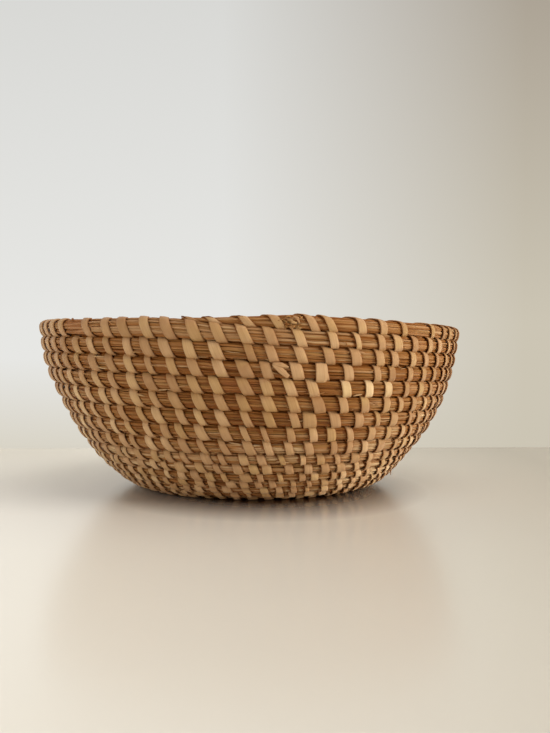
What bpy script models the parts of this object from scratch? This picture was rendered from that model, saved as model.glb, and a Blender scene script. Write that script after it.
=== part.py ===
"""Coiled grass basket: one spiral bundle of grass, sewn row to row with flat binder strips.

Units are metres and +Z is up. The bowl stands on the flat cut into its base rows at z = 0, with its
bounding box centred on the Z axis. The front is towards -Y. Seen from above the bundle winds
clockwise as it climbs, and it thins out to a point on the rim, just left of the front.
"""

import math

import bmesh
import bpy
import numpy as np
from mathutils import Vector

# Profile of the wall, along the middle of the bundle, from the centre of the base to the rim
BASE_RADIUS = 0.0534
FOOT_CURVE_RADIUS = 0.0216
FOOT_CURVE_ANGLE = math.radians(40.9)
SIDE_CURVE_RADIUS = 0.1112
SIDE_CURVE_LENGTH = 0.0740
RIM_RISE = 0.0124

# Rows of the bundle
ROW_PITCH = 0.00704
POINTS_PER_TURN = 24
FLAT_SHARE = 0.1
WELD_SHARE = 0.003

# The thin start at the centre of the base, in turns
FIRST_TURN = 0.35
START_TAPER_TURNS = 0.8
START_SHARE = 0.42

# Binder strips
STRIP_WIDTH = 0.0044
STRIP_THICKNESS = 0.00045
STRIP_CLEARANCE = 0.0003
STRIPS_PER_TURN = 2
SPARSE_TURNS = 1.25
SPARSE_COUNT = 2
LASHED_CHORDS = 2
LASHING_PLACE_SHARES = (-0.25, 0.25)

# The tapered end on the rim, as angles round the bowl. Zero is +X and the front is at -90 degrees
END_ANGLE = math.radians(-106)
TAPER_ANGLE = math.radians(32)
TIP_SHARE = 0.3

# The bowl was sewn a little higher on its left than on its right
LEAN_RISE = 0.0033

# Worked out from the sizes above
ROW_GAP = STRIP_THICKNESS + 2 * STRIP_CLEARANCE
STRIP_ADVANCE = STRIP_WIDTH + STRIP_CLEARANCE
BUNDLE_HEIGHT = ROW_PITCH - ROW_GAP
HEX_CORNER = 1 / math.sqrt(3)
BUNDLE_RADIUS = BUNDLE_HEIGHT * HEX_CORNER
BASE_HEIGHT = BUNDLE_RADIUS * (1 - FLAT_SHARE)
FOOT_CURVE_LENGTH = FOOT_CURVE_RADIUS * FOOT_CURVE_ANGLE
WALL_LENGTH = BASE_RADIUS + FOOT_CURVE_LENGTH + SIDE_CURVE_LENGTH + RIM_RISE
LAST_TURN = WALL_LENGTH / ROW_PITCH
TURN_ANGLE = 2 * math.pi
HEX_ANGLE = math.pi / 3


def arc_step(radius, start, end):
    """How far an arc of the profile goes outwards and upwards between two slopes."""
    return (
        radius * (math.sin(end) - math.sin(start)),
        radius * (math.cos(start) - math.cos(end)),
    )


def profile_at(length):
    """Radius, height and slope of the wall's middle at this length from the centre of the base."""
    if length <= BASE_RADIUS:
        return length, BASE_HEIGHT, 0.0
    radius, height, slope = BASE_RADIUS, BASE_HEIGHT, 0.0
    left = length - BASE_RADIUS
    curves = ((FOOT_CURVE_RADIUS, FOOT_CURVE_LENGTH), (SIDE_CURVE_RADIUS, SIDE_CURVE_LENGTH))
    for curve_radius, curve_length in curves:
        run = min(left, curve_length)
        out, up = arc_step(curve_radius, slope, slope + run / curve_radius)
        radius, height, slope = radius + out, height + up, slope + run / curve_radius
        left -= run
    return radius + left * math.cos(slope), height + left * math.sin(slope), slope


RIM_RADIUS, RIM_HEIGHT, _ = profile_at(WALL_LENGTH)


class Station:
    """One point of the bundle's middle line, with the size of the bundle there."""

    def __init__(self, turn):
        radius, height, slope = profile_at(turn * ROW_PITCH)
        angle = END_ANGLE + (LAST_TURN - turn) * TURN_ANGLE
        lean = 1 - LEAN_RISE / RIM_HEIGHT * math.cos(angle) * radius / RIM_RADIUS
        row = ROW_PITCH * math.hypot(math.cos(slope), lean * math.sin(slope))
        self.size = (row - ROW_GAP) / BUNDLE_HEIGHT * self.taper(turn)
        thinner = (1 - self.taper(turn)) * BUNDLE_HEIGHT / 2
        drop = thinner if turn > FIRST_TURN + START_TAPER_TURNS else -thinner
        out = Vector((math.cos(angle), math.sin(angle), 0))
        self.slope = math.atan2(lean * math.sin(slope), math.cos(slope))
        self.turns_up = turn - 1 / 2 - (BASE_RADIUS + FOOT_CURVE_LENGTH) / ROW_PITCH
        self.up = out * math.cos(self.slope) + Vector((0, 0, math.sin(self.slope)))
        rise = (height - BASE_HEIGHT) * lean
        self.middle = out * radius + Vector((0, 0, BASE_HEIGHT + rise)) - self.up * drop

    @staticmethod
    def taper(turn):
        """Share of the full thickness: the bundle is thin at its start and at its end on the rim."""
        begun = (turn - FIRST_TURN) / START_TAPER_TURNS
        left = (LAST_TURN - turn) * TURN_ANGLE / TAPER_ANGLE
        return min(1.0, START_SHARE + (1 - START_SHARE) * begun, TIP_SHARE + (1 - TIP_SHARE) * left)


def spiral_turns():
    """The turn counts at the bundle's points, which lie above one another from row to row."""
    count = math.floor((LAST_TURN - FIRST_TURN) * POINTS_PER_TURN)
    return [LAST_TURN - (count - i) / POINTS_PER_TURN for i in range(count + 1)]


STATIONS = [Station(turn) for turn in spiral_turns()]


def material(name, color, roughness):
    """A plain Principled material."""
    made = bpy.data.materials.new(name)
    made.use_nodes = True
    shader = made.node_tree.nodes["Principled BSDF"]
    shader.inputs["Base Color"].default_value = (*color, 1)
    shader.inputs["Roughness"].default_value = roughness
    shader.inputs["Metallic"].default_value = 0
    made.diffuse_color = (*color, 1)
    return made


def new_collection(name):
    """A collection of the scene."""
    made = bpy.data.collections.new(name)
    bpy.context.scene.collection.children.link(made)
    return made


def clear_scene():
    """Removes the objects of the file that this runs in."""
    for obj in list(bpy.data.objects):
        bpy.data.objects.remove(obj, do_unlink=True)


def straight_end(near, beyond):
    """A point one bundle diameter outside an end, straight on from it."""
    along = (near.middle - beyond.middle).normalized()
    return near.middle + along * 2 * BUNDLE_RADIUS * near.size


def coil_curve(collection):
    """The bundle as a curve with a six-sided bevel, whose flats face the rows on either side."""
    curve = bpy.data.curves.new("grass_coil", "CURVE")
    curve.dimensions = "3D"
    curve.twist_mode = "Z_UP"
    curve.bevel_depth = BUNDLE_RADIUS
    curve.bevel_resolution = 1
    curve.use_fill_caps = True
    points = [(s.middle, s.size, s.slope) for s in STATIONS]
    start, tip = STATIONS[0], STATIONS[-1]
    points.insert(0, (straight_end(start, STATIONS[1]), start.size, start.slope))
    points.append((straight_end(tip, STATIONS[-2]), tip.size, tip.slope))
    spline = curve.splines.new("POLY")
    spline.points.add(len(points) - 1)
    for point, (middle, size, slope) in zip(spline.points, points):
        point.co = (*middle, 1)
        point.radius = size
        point.tilt = slope + HEX_ANGLE / 2
    made = bpy.data.objects.new("grass_coil_curve", curve)
    collection.objects.link(made)
    return made


def mesh_from_curve(name, source, collection):
    """The evaluated curve as a mesh object with its caps welded on. The curve is removed."""
    bpy.context.view_layer.update()
    graph = bpy.context.evaluated_depsgraph_get()
    mesh = bpy.data.meshes.new_from_object(source.evaluated_get(graph))
    mesh.name = name
    work = bmesh.new()
    work.from_mesh(mesh)
    bmesh.ops.remove_doubles(work, verts=work.verts, dist=BUNDLE_RADIUS * WELD_SHARE)
    bmesh.ops.recalc_face_normals(work, faces=work.faces)
    work.to_mesh(mesh)
    work.free()
    made = bpy.data.objects.new(name, mesh)
    made.matrix_world = source.matrix_world
    collection.objects.link(made)
    bpy.data.objects.remove(source, do_unlink=True)
    return made


def floor_cutter(collection):
    """A slab under z = 0, which cuts the flat that the bowl stands on."""
    side = 4 * RIM_RADIUS
    bpy.ops.mesh.primitive_cube_add(size=1, location=(0, 0, -RIM_HEIGHT / 2))
    made = bpy.context.object
    made.name = "floor_cutter"
    made.scale = (side, side, RIM_HEIGHT)
    for owner in list(made.users_collection):
        owner.objects.unlink(made)
    collection.objects.link(made)
    made.hide_render = True
    made.display_type = "WIRE"
    return made


def build_coil(parts, cutters):
    """The grass bundle, cut flat underneath."""
    coil = mesh_from_curve("grass_coil", coil_curve(parts), parts)
    coil.data.materials.clear()
    coil.data.materials.append(material("grass", (0.36, 0.22, 0.10), 0.7))
    cut = coil.modifiers.new("flat base", "BOOLEAN")
    cut.operation = "DIFFERENCE"
    cut.solver = "EXACT"
    cut.object = floor_cutter(cutters)
    return coil


class Chord:
    """A straight run of the bundle between two of its points, where one stitch goes round."""

    def __init__(self, index):
        self.start, self.end = STATIONS[index], STATIONS[index + 1]
        self.length = (self.end.middle - self.start.middle).length
        self.along = (self.end.middle - self.start.middle) / self.length
        up = (self.start.up + self.end.up) / 2
        self.up = (up - self.along * up.dot(self.along)).normalized()
        self.out = self.up.cross(self.along)
        self.middle = (self.start.middle + self.end.middle) / 2
        self.size = max(self.start.size, self.end.size)

    def ring_point(self, shift, corner):
        """A point over one corner of the bundle, this far along from the chord's middle."""
        reach = BUNDLE_RADIUS * self.size + STRIP_CLEARANCE / math.cos(HEX_ANGLE / 2)
        angle = corner * HEX_ANGLE
        place = self.out * math.cos(angle) + self.up * math.sin(angle)
        return self.middle + self.along * shift + place * reach, place


def stitch_crossings(chord):
    """The strip's places on one stitch, from under the row, up the outside and down inside."""
    step = STRIP_ADVANCE / 2
    return [chord.ring_point(shift, corner) for shift, corner in ((-step, -1), (0, 0), (step, 1), (step, 2))]


def inner_crossing(chord, following):
    """The strip's place on the inside of the bowl, halfway to the next stitch."""
    here, inwards = chord.ring_point(chord.length / 2, 3)
    there, _ = following.ring_point(-following.length / 2, 3)
    return (here + there) / 2, inwards


def lashing_sections():
    """Every section of the end lashing, whose tall loops hold the thin end to the row beneath it."""
    step = STRIP_ADVANCE / 2
    last = len(STATIONS) - 1
    loops = [
        (Chord(index), Chord(index - POINTS_PER_TURN), share)
        for index in range(last - LASHED_CHORDS, last)
        for share in LASHING_PLACE_SHARES
    ]
    found = []
    for number, (thin, row, share) in enumerate(loops):
        shift = share * row.length
        found += [strip_section(*row.ring_point(shift + step * back, corner), row.along)
                  for back, corner in ((-1, -2), (-1, -1), (-1 / 2, 0))]
        found += [strip_section(*thin.ring_point(shift + step * on, corner), thin.along)
                  for on, corner in ((1 / 2, 0), (1, 1), (1, 2))]
        if number + 1 < len(loops):
            _, next_row, next_share = loops[number + 1]
            found.append(strip_section(*thin.ring_point(shift + 2 * step, 3), thin.along))
            under = next_row.ring_point(next_share * next_row.length - 2 * step, 3)
            found.append(strip_section(*under, next_row.along))
    return found


def strip_section(place, outwards, along):
    """Three corners of the strip: its two edges against the row, and its crown."""
    half = along * STRIP_WIDTH / 2
    return [place - half, place + outwards * STRIP_THICKNESS, place + half]


def strip_sections(chords):
    """Every section of a strip that sews round these chords, in order."""
    found = []
    for chord, following in zip(chords, chords[1:] + [None]):
        found += [strip_section(place, away, chord.along) for place, away in stitch_crossings(chord)]
        if following:
            along = (chord.along + following.along).normalized()
            found.append(strip_section(*inner_crossing(chord, following), along))
            under, away = following.ring_point(-STRIP_ADVANCE / 2, -2)
            found.append(strip_section(under, away, following.along))
    return found


def loft(name, sections, collection):
    """A closed body through three-cornered sections."""
    work = bmesh.new()
    rings = [[work.verts.new(corner) for corner in section] for section in sections]
    for ring, following in zip(rings, rings[1:]):
        for i in range(3):
            j = (i + 1) % 3
            work.faces.new((ring[i], following[i], following[j], ring[j]))
    work.faces.new(rings[0])
    work.faces.new(rings[-1][::-1])
    bmesh.ops.recalc_face_normals(work, faces=work.faces)
    mesh = bpy.data.meshes.new(name)
    work.to_mesh(mesh)
    work.free()
    made = bpy.data.objects.new(name, mesh)
    collection.objects.link(made)
    return made


def stitched_chords():
    """The chords that carry a stitch, counted back from the rim's end: none on the foot's tight curve or
    under the taper, and half as many on the short chords just above the foot."""
    count = len(STATIONS) - 1
    found = []
    for from_end in range(LASHED_CHORDS, count):
        chord = Chord(count - 1 - from_end)
        lashed = POINTS_PER_TURN <= from_end < POINTS_PER_TURN + LASHED_CHORDS
        step = SPARSE_COUNT if chord.start.turns_up < SPARSE_TURNS else 1
        if chord.start.turns_up >= 0 and from_end % step == 0 and not lashed:
            found.append((from_end, chord))
    return found[::-1]


def build_strips(parts):
    """The binder strips, two to each turn of the bundle from the foot to the rim, and the end lashing."""
    tan = material("binder", (0.55, 0.36, 0.18), 0.5)
    groups = {}
    for from_end, chord in stitched_chords():
        groups.setdefault(from_end * STRIPS_PER_TURN // POINTS_PER_TURN, []).append(chord)
    made = []
    for number, key in enumerate(sorted(groups, reverse=True), 1):
        strip = loft(f"binder_strip_{number:02d}", strip_sections(groups[key]), parts)
        strip.data.materials.append(tan)
        made.append(strip)
    lashing = loft("end_lashing", lashing_sections(), parts)
    lashing.data.materials.append(tan)
    return [*made, lashing]


def centre_on_axis(objects):
    """Moves every piece alike, so that the bowl's bounding box is centred on the Z axis."""
    graph = bpy.context.evaluated_depsgraph_get()
    corners = np.array([
        vertex.co[:] for obj in objects for vertex in obj.evaluated_get(graph).data.vertices
    ])
    middle = (corners.min(axis=0) + corners.max(axis=0)) / 2
    for obj in objects:
        for vertex in obj.data.vertices:
            vertex.co.x -= middle[0]
            vertex.co.y -= middle[1]


def least_gap():
    """The least clear distance between two rows of the bundle, measured on its points."""
    rows = zip(STATIONS, STATIONS[POINTS_PER_TURN:])
    return min(
        (high.middle - low.middle).length - (high.size + low.size) * BUNDLE_HEIGHT / 2
        for low, high in rows
    )


def main():
    clear_scene()
    parts = new_collection("coiled_basket")
    cutters = new_collection("cutters")
    coil = build_coil(parts, cutters)
    strips = build_strips(parts)
    bpy.context.view_layer.update()
    centre_on_axis([coil, *strips])
    print(f"bundle: {LAST_TURN - FIRST_TURN:.1f} turns, least gap to itself {least_gap() * 1000:.2f} mm")
    print(f"{len(strips)} binder strips, with the end lashing")


main()
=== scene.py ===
"""The looks of the coiled grass basket: every stem of the bundle and every stitch, round the CAD frame.

Metres, +Z up, front towards -Y. Everything is laid out in the bundle's own coordinates: how many turns
from the centre of the base, and where in the section, outwards from the wall and up towards the next
row.
"""

import math

import bpy
import numpy as np
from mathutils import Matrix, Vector


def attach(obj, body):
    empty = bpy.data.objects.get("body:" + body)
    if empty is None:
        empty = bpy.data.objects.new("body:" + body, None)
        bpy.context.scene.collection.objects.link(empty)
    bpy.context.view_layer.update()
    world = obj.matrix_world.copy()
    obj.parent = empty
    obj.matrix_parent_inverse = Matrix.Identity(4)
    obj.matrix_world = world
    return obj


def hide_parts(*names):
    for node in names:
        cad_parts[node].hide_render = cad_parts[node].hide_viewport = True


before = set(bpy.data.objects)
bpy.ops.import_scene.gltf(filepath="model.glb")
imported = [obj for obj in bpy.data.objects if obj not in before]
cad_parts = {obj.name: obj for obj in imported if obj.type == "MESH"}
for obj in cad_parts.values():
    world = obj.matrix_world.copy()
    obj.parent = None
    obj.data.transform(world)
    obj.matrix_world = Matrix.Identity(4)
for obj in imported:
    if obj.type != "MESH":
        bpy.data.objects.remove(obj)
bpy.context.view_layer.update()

MM = 0.001
TAU = 2 * math.pi

# The spiral, in the same sizes as the part's
BASE_RADIUS = 53.4 * MM
FOOT_CURVE_RADIUS = 21.6 * MM
FOOT_CURVE_ANGLE = math.radians(40.9)
SIDE_CURVE_RADIUS = 111.2 * MM
SIDE_CURVE_LENGTH = 74.0 * MM
RIM_RISE = 12.4 * MM
ROW_PITCH = 7.04 * MM
FIRST_TURN = 0.35
START_TAPER_TURNS = 0.8
START_SHARE = 0.42
END_ANGLE = math.radians(-106)
TAPER_ANGLE = math.radians(32)
AXIS_SHIFT = (0.18 * MM, -0.20 * MM)  # the part is centred by its box, not by its axis

FOOT_CURVE_LENGTH = FOOT_CURVE_RADIUS * FOOT_CURVE_ANGLE
WALL_LENGTH = BASE_RADIUS + FOOT_CURVE_LENGTH + SIDE_CURVE_LENGTH + RIM_RISE
LAST_TURN = WALL_LENGTH / ROW_PITCH

# Where the looks follow the photo more closely than the part does
TIP_SHARE = 0.12
LEAST_SHARE = 0.1
LEAN_RISE = 3.8 * MM
BASE_HEIGHT = 3.75 * MM
END_DROP = 0.5 * MM
LAST_ROW_SHARE = 0.85  # the last row is a little thinner all along the front
LAST_ROW_TURNS = (0.15, 0.4)  # and grows to its full size between these turns back
FOOT_SHIFT = (2.6 * MM, -3.0 * MM)  # the foot lies a little off the middle of the bowl
FOOT_SHIFT_HEIGHT = 16 * MM

# From row to row, in mm, at these lengths along the wall: less just over the foot, more under it
PITCH_LENGTHS = (0, 46, 56, 72, 77, 83, 88, 92, 126, 137)
PITCHES = (9.0, 9.0, 4.8, 4.5, 5.4, 5.9, 5.8, 7.7, 7.7, 7.1)

# Where the bowl is out of round: degrees, height, spread in degrees, spread in height, outwards
BULGES = (
    (0, 30 * MM, 60, 28 * MM, 1.7 * MM),
    (180, 60 * MM, 50, 14 * MM, 1.6 * MM),
)
BULGE_FADE = 6 * MM  # no bulge at the floor, all of it from this height up

# The rows swell under the end on the rim and to the left of it: height over degrees from the end
SWELL_ANGLES = (-69, -49, -34, -19, -9, 0, 6, 16, 31)
SWELL_HEIGHTS = (0.0, 0.3, 0.8, 1.6, 2.5, 2.3, 1.4, 0.7, 0.0)  # mm
SWELL_TURNS = (-3.5, -2.5, -1.5, -0.5)
SWELL_SHARES = (0.0, 0.15, 0.45, 1.0)

# How finely the spiral is measured
WAY_POINTS = 4000
TURN_POINTS = 9000

# The bundle's section
HALF_WALL = 3.35 * MM
HALF_ROW = 3.45 * MM
SQUARENESS = 2.9
UNDERSIDE_POWER = 4
FLOOR_GAP = 0.03 * MM
CORE_DEPTH = 0.92 * MM
CORE_SIDES = 10
# Painted shade on the bundle's inside, seen between the stems
CORE_SHADE = 0.7
SEAM_RADIUS = 0.8 * MM
SEAM_SIDES = 6

# Painted shade in the groove under a row, and less of it in the one over it
UNDER_GROOVE_POWER = 2.2
OVER_GROOVE_POWER = 4
OVER_GROOVE_SHARE = 0.6

# The stems, at angles in the section: 0 is outwards and 90 is up, towards the next row
STEM_RADIUS = 0.62 * MM
STEM_SIDES = 5
OUTER_STEMS = 9
OUTER_RANGE = (-68, 68)
INNER_STEMS = 6
INNER_RANGE = (112, 248)
BETWEEN_DEPTH = 0.36 * MM  # of the stems that lie between the outer ones
TOP_ANGLE = 90
RIM_ANGLES = (74, 82, 98, 106)  # more stems, where nothing covers the top
RIM_TURNS = 2
STEM_LENGTHS = (70 * MM, 240 * MM)
STEM_WIDTHS = (0.62, 1.22)
STEMS_DRAWN = 160  # enough to follow one another along the whole bundle
JOIN_REACH = 7 * MM  # a stem gets thin this far from where the next one starts
JOIN_SHARE = 0.35
TAPERED_STEM = 0.45
STRAY_STEP = 24 * MM  # the stems stray round the section, quickly and slowly
SLOW_STRAY_STEP = 90 * MM
STRAY_ANGLE = 0.2
SINK_STEP = 30 * MM
SINK_SPREAD = 0.26 * MM
PINCH = 0.22 * MM  # the bundle swells between stitches and is pinched at them
PINCH_SHARE = 0.6

# A stem's points from one stitch to the next: in gaps between stitches and in half widths of a strip
STEM_POINTS = ((0, 0.65), (0, 1.04), (0, 1.42), (0.62, 0), (1, -1.1))
STEM_SHADES = (1.0, 1.0, 0.0, 0.0, 0.3)
STEM_SWELLS = (0.0, 0.15, 0.55, 1.0, 0.3)
ROWS_PER_STITCH = len(STEM_POINTS)

# The stitches, and where they differ, in turns back from the end on the rim
STITCHES_PER_TURN = 61.95
OFFSET_BACK = 8.6  # from here down the stitches of two rows lie offset
OFFSET = 0.5
LEAST_SPACING = 7.2 * MM
CENTRE_RADIUS = 16 * MM  # inside this the stitches lie closer and closer
CENTRE_SHARE = 0.45
FIRST_STITCH_TURN = 0.011
LAST_STITCH_TURN = 0.05  # past the bundle's start
WIDE_SPACING_ANGLE = -62  # the stitches lie further apart at the front on the right
WIDE_SPACING_REACH = 26
WIDE_SPACING_SHARE = 0.13
WIDE_SPACING_BACK = 0.5
STITCH_JITTER = 0.45 * MM
LOW_JITTER = 1.1 * MM  # the stitches are less even low down
JITTER_BACK = (5, 9, 17, 20)
MOST_JITTER = 2
LOW_BACK = (5, 9, 16, 19)  # where the work is untidy
ADVANCE = 3.5 * MM
ADVANCE_SPREAD = 0.3
LOW_ADVANCE_SPREAD = 0.3
ADVANCE_LIMIT = 0.5  # of the way to the next stitch
LEAN_ANGLE = -88  # the strips lean more at the middle of the front
LEAN_REACH = 20
LEAN_MORE = 1.5 * MM
END_STITCHES = 6  # the last ones lie aslant over the thin end
END_ADVANCE = 6.0 * MM
END_WIDTH = 0.85

# The strips
WALL_STRIPS = 24
BASE_HALF_TURNS = 4  # to each strip in the base
STRIP_WIDTH = 4.05 * MM
WIDTH_SPREAD = 0.13
LOW_WIDTH_SPREAD = 0.1
MOST_WIDTH_SPREAD = 2.2
LOW_WIDTH = 0.84  # share of the width low down
LOW_WIDTH_BACK = (5, 7.5)
LEFT_ANGLE = -155  # and narrower still low down on the left
LEFT_REACH = 42
LEFT_NARROWER = 0.17
LEFT_BACK = (2, 5)
STRIP_THICKNESS = 0.42 * MM
STRIP_TONES = (0.12, 0.88)
STITCH_STEPS = 20
OUTSIDE = 0.25  # share of a stitch's way round at which it faces outwards
HALFWAY = 0.5  # and at which it is over its row
CROWN = 0.14 * MM
EDGE_LIFT = 0.30 * MM
EDGE_LIFTS = (0.5, 1.5)
LEAST_LIFT = -0.05
MOST_LIFT = 0.12
LOW_LIFT = 0.16
TUCK = 0.45 * MM
LEAST_REACH = 2.4 * MM
WAIST = 0.14  # how much narrower a strip is where it goes into a gap
WAIST_POWER = 4
WAIST_FROM = 0.35
# How far the painted shade of the groove beneath spreads up over a strip
STRIP_GROOVE_POWER = 1.4

# A strip's section: places across it, from edge to edge, and which of them are on its face
ACROSS = np.array([-1.0, -0.45, 0.2, 0.75, 1.0, 1.0, -1.0])
ON_FACE = np.array([1, 1, 1, 1, 1, 0, 0])
FACE = STRIP_THICKNESS * ON_FACE + CROWN * (1 - ACROSS ** 2) * ON_FACE

# Turns back at which the photo has no stitch
LEFT_OUT = (0.9155, 0.1724, 0.0750)

# Stitches that stand out in the photo: turns back, moved on by mm, share of the width, tone
CHANGED = (
    (0.0279, 0.0, 0.85, 0.9), (0.0438, -3.2, 0.75, 0.8), (0.0597, -3.8, 1.2, 0.6),
    (0.0919, 2.2, 1.15, 0.7), (0.1092, 5.6, 1.0, 0.5), (0.1228, 3.2, 1.0, 0.8),
    (0.1402, 2.3, 1.0, 0.6), (1.0276, 0.0, 1.05, 0.5), (1.0785, -0.7, 1.0, 0.9),
    (1.0965, -2.7, 0.95, 0.9), (1.1155, -2.5, 0.6, 1.0), (1.1333, -3.0, 0.95, 0.5),
    (1.9958, 2.2, 1.1, 0.8), (2.0124, 2.6, 1.1, 0.9), (2.0286, 0.8, 1.15, 0.95),
    (2.0441, -1.2, 0.85, 0.1), (2.0959, -1.8, 1.1, 0.5), (2.1137, -2.4, 1.2, 0.5),
    (2.1340, -3.4, 1.1, 0.6), (3.0610, 2.2, 1.05, 0.5), (3.0964, 0.0, 0.9, 0.85),
    (3.1318, -2.2, 0.9, 0.5), (4.0280, 2.2, 1.0, 0.6), (4.0615, 2.2, 1.1, 0.7),
    (4.0781, 2.0, 1.05, 0.9), (4.0976, 4.0, 1.1, 0.8), (4.1147, 0.0, 1.05, 1.2),
    (4.1321, 0.0, 1.0, 1.3), (4.1515, 0.0, 1.05, 1.2), (5.0618, 0.0, 1.2, 0.5),
    (6.0968, 3.6, 1.5, 0.35),
)

# Where the grass and the strips are paler or darker: darker at the middle of the front, painted light low
# on the right for the light the shelf throws up, painted shade high on the right, and paler low on the
# left. Degrees, spread, turns back, spread, grass, strips
TONE_AND_LIGHT_PLACES = (
    (-90, 36, 5.2, 2.2, -0.55, -0.06),
    (-35, 32, 11.5, 4.5, 0.55, 0.5),
    (-35, 30, 2.5, 3.0, -0.15, -0.12),
    (-150, 45, 9, 6, 0.1, 0.5),
)
STRAW = ((2.04, 2.1), (8.03, 8.09))  # stretches with pale stems, in turns back
STRAW_TONES = (-0.1, 0.7)
STRAW_STEEPNESS = 4
REDDISH = ((4.022, 4.05), (0.9, 0.93), (2.72, 2.8))
REDDISH_STEEPNESS = 3

# The plug that fills the hole at the centre, from its bottom up
PLUG_RADIUS = 6.2 * MM
PLUG_HEIGHT = 5.6 * MM
PLUG_SIDES = 14
PLUG_RADII = np.array([0.6, 1.0, 1.0, 0.75, 0.3])
PLUG_HEIGHTS = np.array([0.0, 0.3, 0.75, 0.95, 1.0])
PLUG_LOBES = 3
PLUG_LOBE_SHARE = 0.08
PLUG_STREAK = 2.4

# Splinters all over the wall, and how they and the loose pieces of strip are made
SPLINTERS = 420
SPLINTER_POINTS = 7
SPLINTER_KNOTS = (0, 0.25, 0.8, 1)
SPLINTER_SHARES = (0.5, 1, 0.9, 0.25)
TONGUE_POINTS = 13
TONGUE_GRAIN = 6 * MM
SPLINTER_DEPTH = 0.75
SPLINTER_CROWDING = 0.9
SPLINTER_RUNS = (3, 9)  # mm
SPLINTER_SECTIONS = (-62, 55)  # degrees
SPLINTER_RADII = (0.16, 0.36)  # mm
SPLINTER_TONES = (0.1, 1.0)

# The knotty spot on the last row
KNOT_BACK = 0.0708
KNOT_STEMS = 30

# Stems that stick out: turns back, section angle, way on and up in mm, radius, heights in mm, tone
DARK_END = (((-2.8, -0.6), (-0.5, 0.3), (2.8, 0.2)), 0.42, (0.1, 0.5, 0.3), -1.0)
STEM_BITS = (
    (0.0, 66, *DARK_END),
    (0.0172, 66, *DARK_END),
    (0.0365, 66, *DARK_END),
    (0.9085, 62, ((0, 0), (1.6, 1.2), (2.8, 1.5)), 0.5, (0.0, 0.4, 0.3), 0.0),
    (0.1667, -48, ((0, 0), (-3.0, 0.4), (-4.6, 0.2)), 0.25, (0.3, 0.8, 0.6), 0.1),
    (12.25, 20, ((0, 0), (-1.5, -0.6), (-3.0, -1.6)), 0.24, (0.4, 1.0, 1.9), 0.1),
)

# The split strip, the wide stitch and the knot's strips: the same, with widths in mm for the radius
SPLIT_BACK = 3.0585
WIDE_WIDTHS = (4.6, 5.1, 5.2, 5.2, 5.0, 4.4, 1.6)
STRIP_BITS = (
    (SPLIT_BACK, 42, ((0, 0), (-3.2, -1.9), (-6.6, -4.3)), (1.2, 2.4, 1.6), (0.3, 0.75, 0.45), 0.75),
    (SPLIT_BACK, 46, ((0, 0), (-3.6, -0.5), (-6.4, -1.1)), (0.9, 1.5, 0.5), (0.35, 0.9, 0.6), 0.7),
    (SPLIT_BACK, 44, ((0, 0), (-3.0, -1.2), (-5.6, -2.5)), (0.7, 0.9, 0.4), (0.3, 0.6, 0.3), 0.4),
    (3.0902, 62, ((0, 0), (-0.5, -4.2), (-1.2, -8.6)), WIDE_WIDTHS, (0.55, 0.6, 1.3), 0.9),
    (KNOT_BACK, 45, ((0, 0), (-1.5, -0.8), (-2.4, -2.4)), (0.9, 1.2, 0.7), (0.2, 0.6, 0.2), 0.2),
    (KNOT_BACK + 0.002, 0, ((0, 0), (1.8, 0.5), (2.6, 1.6)), (0.8, 1.1, 0.5), (0.2, 0.6, 0.2), 0.5),
)

STITCH_SEED = 7
BUNDLE_SEED = 11
STRIP_SEED = 23
LOOSE_SEED = 31


def profile_at(length):
    """Radius, height above the base rows, and slope of the wall, for an array of lengths."""
    length = np.asarray(length, float)
    radius = np.minimum(length, BASE_RADIUS)
    height = np.zeros_like(length)
    slope = np.zeros_like(length)
    left = np.maximum(length - BASE_RADIUS, 0)
    for curve_radius, curve_length in (
        (FOOT_CURVE_RADIUS, FOOT_CURVE_LENGTH), (SIDE_CURVE_RADIUS, SIDE_CURVE_LENGTH),
    ):
        run = np.minimum(left, curve_length)
        bent = slope + run / curve_radius
        radius = radius + curve_radius * (np.sin(bent) - np.sin(slope))
        height = height + curve_radius * (np.cos(slope) - np.cos(bent))
        slope = bent
        left = left - run
    return radius + left * np.cos(slope), height + left * np.sin(slope), slope


RIM_RADIUS, RIM_HEIGHT, _ = (float(value) for value in profile_at(WALL_LENGTH))
WALL_WAY = np.linspace(0, WALL_LENGTH, WAY_POINTS)
PITCH_WAY = np.interp(WALL_WAY, np.array(PITCH_LENGTHS) * MM, PITCHES) * MM
TURN_STEPS = np.diff(WALL_WAY) * 2 / (PITCH_WAY[1:] + PITCH_WAY[:-1])
TURN_WAY = np.concatenate([[0], np.cumsum(TURN_STEPS)])


def way_at(turn):
    """Length along the wall from the centre of the base to this turn."""
    return np.interp(turn - LAST_TURN + TURN_WAY[-1], TURN_WAY, WALL_WAY)


def pitch_share(turn):
    """How high the row is here, against the part's even rows."""
    return np.interp(way_at(turn), WALL_WAY, PITCH_WAY) / ROW_PITCH


def taper_at(turn):
    """Share of the full thickness, thin at the start and at the end on the rim."""
    begun = START_SHARE + (1 - START_SHARE) * (turn - FIRST_TURN) / START_TAPER_TURNS
    left = TIP_SHARE + (1 - TIP_SHARE) * (LAST_TURN - turn) * TAU / TAPER_ANGLE
    thin = np.interp(LAST_TURN - turn, LAST_ROW_TURNS, (LAST_ROW_SHARE, 1))
    return np.clip(np.minimum(np.minimum(begun, left), thin), LEAST_SHARE, 1)


def either_way(degrees):
    """The same angle, from -180 to 180 degrees."""
    return (degrees + 180) % 360 - 180


def degrees_off(back, degrees):
    """How far these turns back from the end lie from an angle, to either side."""
    return either_way(math.degrees(END_ANGLE) + back * 360 - degrees)


def swell_at(turn, edge):
    """How far the edge of a row, half a turn above or below its middle, is raised near the end."""
    from_end = either_way(np.degrees((LAST_TURN - turn) * TAU))
    height = np.interp(from_end, SWELL_ANGLES, SWELL_HEIGHTS) * MM
    return height * np.interp(turn + edge - LAST_TURN, SWELL_TURNS, SWELL_SHARES)


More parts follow.
